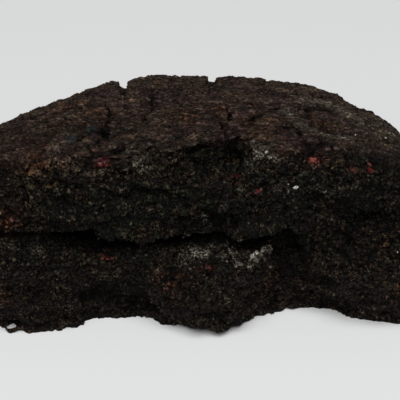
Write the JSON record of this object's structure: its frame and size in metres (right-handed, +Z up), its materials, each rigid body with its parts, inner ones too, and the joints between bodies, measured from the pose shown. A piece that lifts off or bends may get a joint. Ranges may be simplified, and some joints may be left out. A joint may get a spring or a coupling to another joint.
{
  "type": "broken chocolate cookie",
  "caption": "Half of a thick round chocolate cookie with a cracked crust, broken across, with dark torn crumb and a deep split in the broken face.",
  "frame": {"origin": "bottom centre of the bounding box, on the flat base", "axes": "+Z up from the base to the crust, -Y out of the broken face, X along the break"},
  "size_m": [0.1046, 0.0578, 0.036],
  "materials": {
    "crumb_and_crust": "very dark brown baked chocolate crust with a faint sheen, and nearly black torn crumb, rough and open"
  },
  "bodies": {
    "root": {"cookie": "crumb_and_crust"}
  },
  "joints": []
}
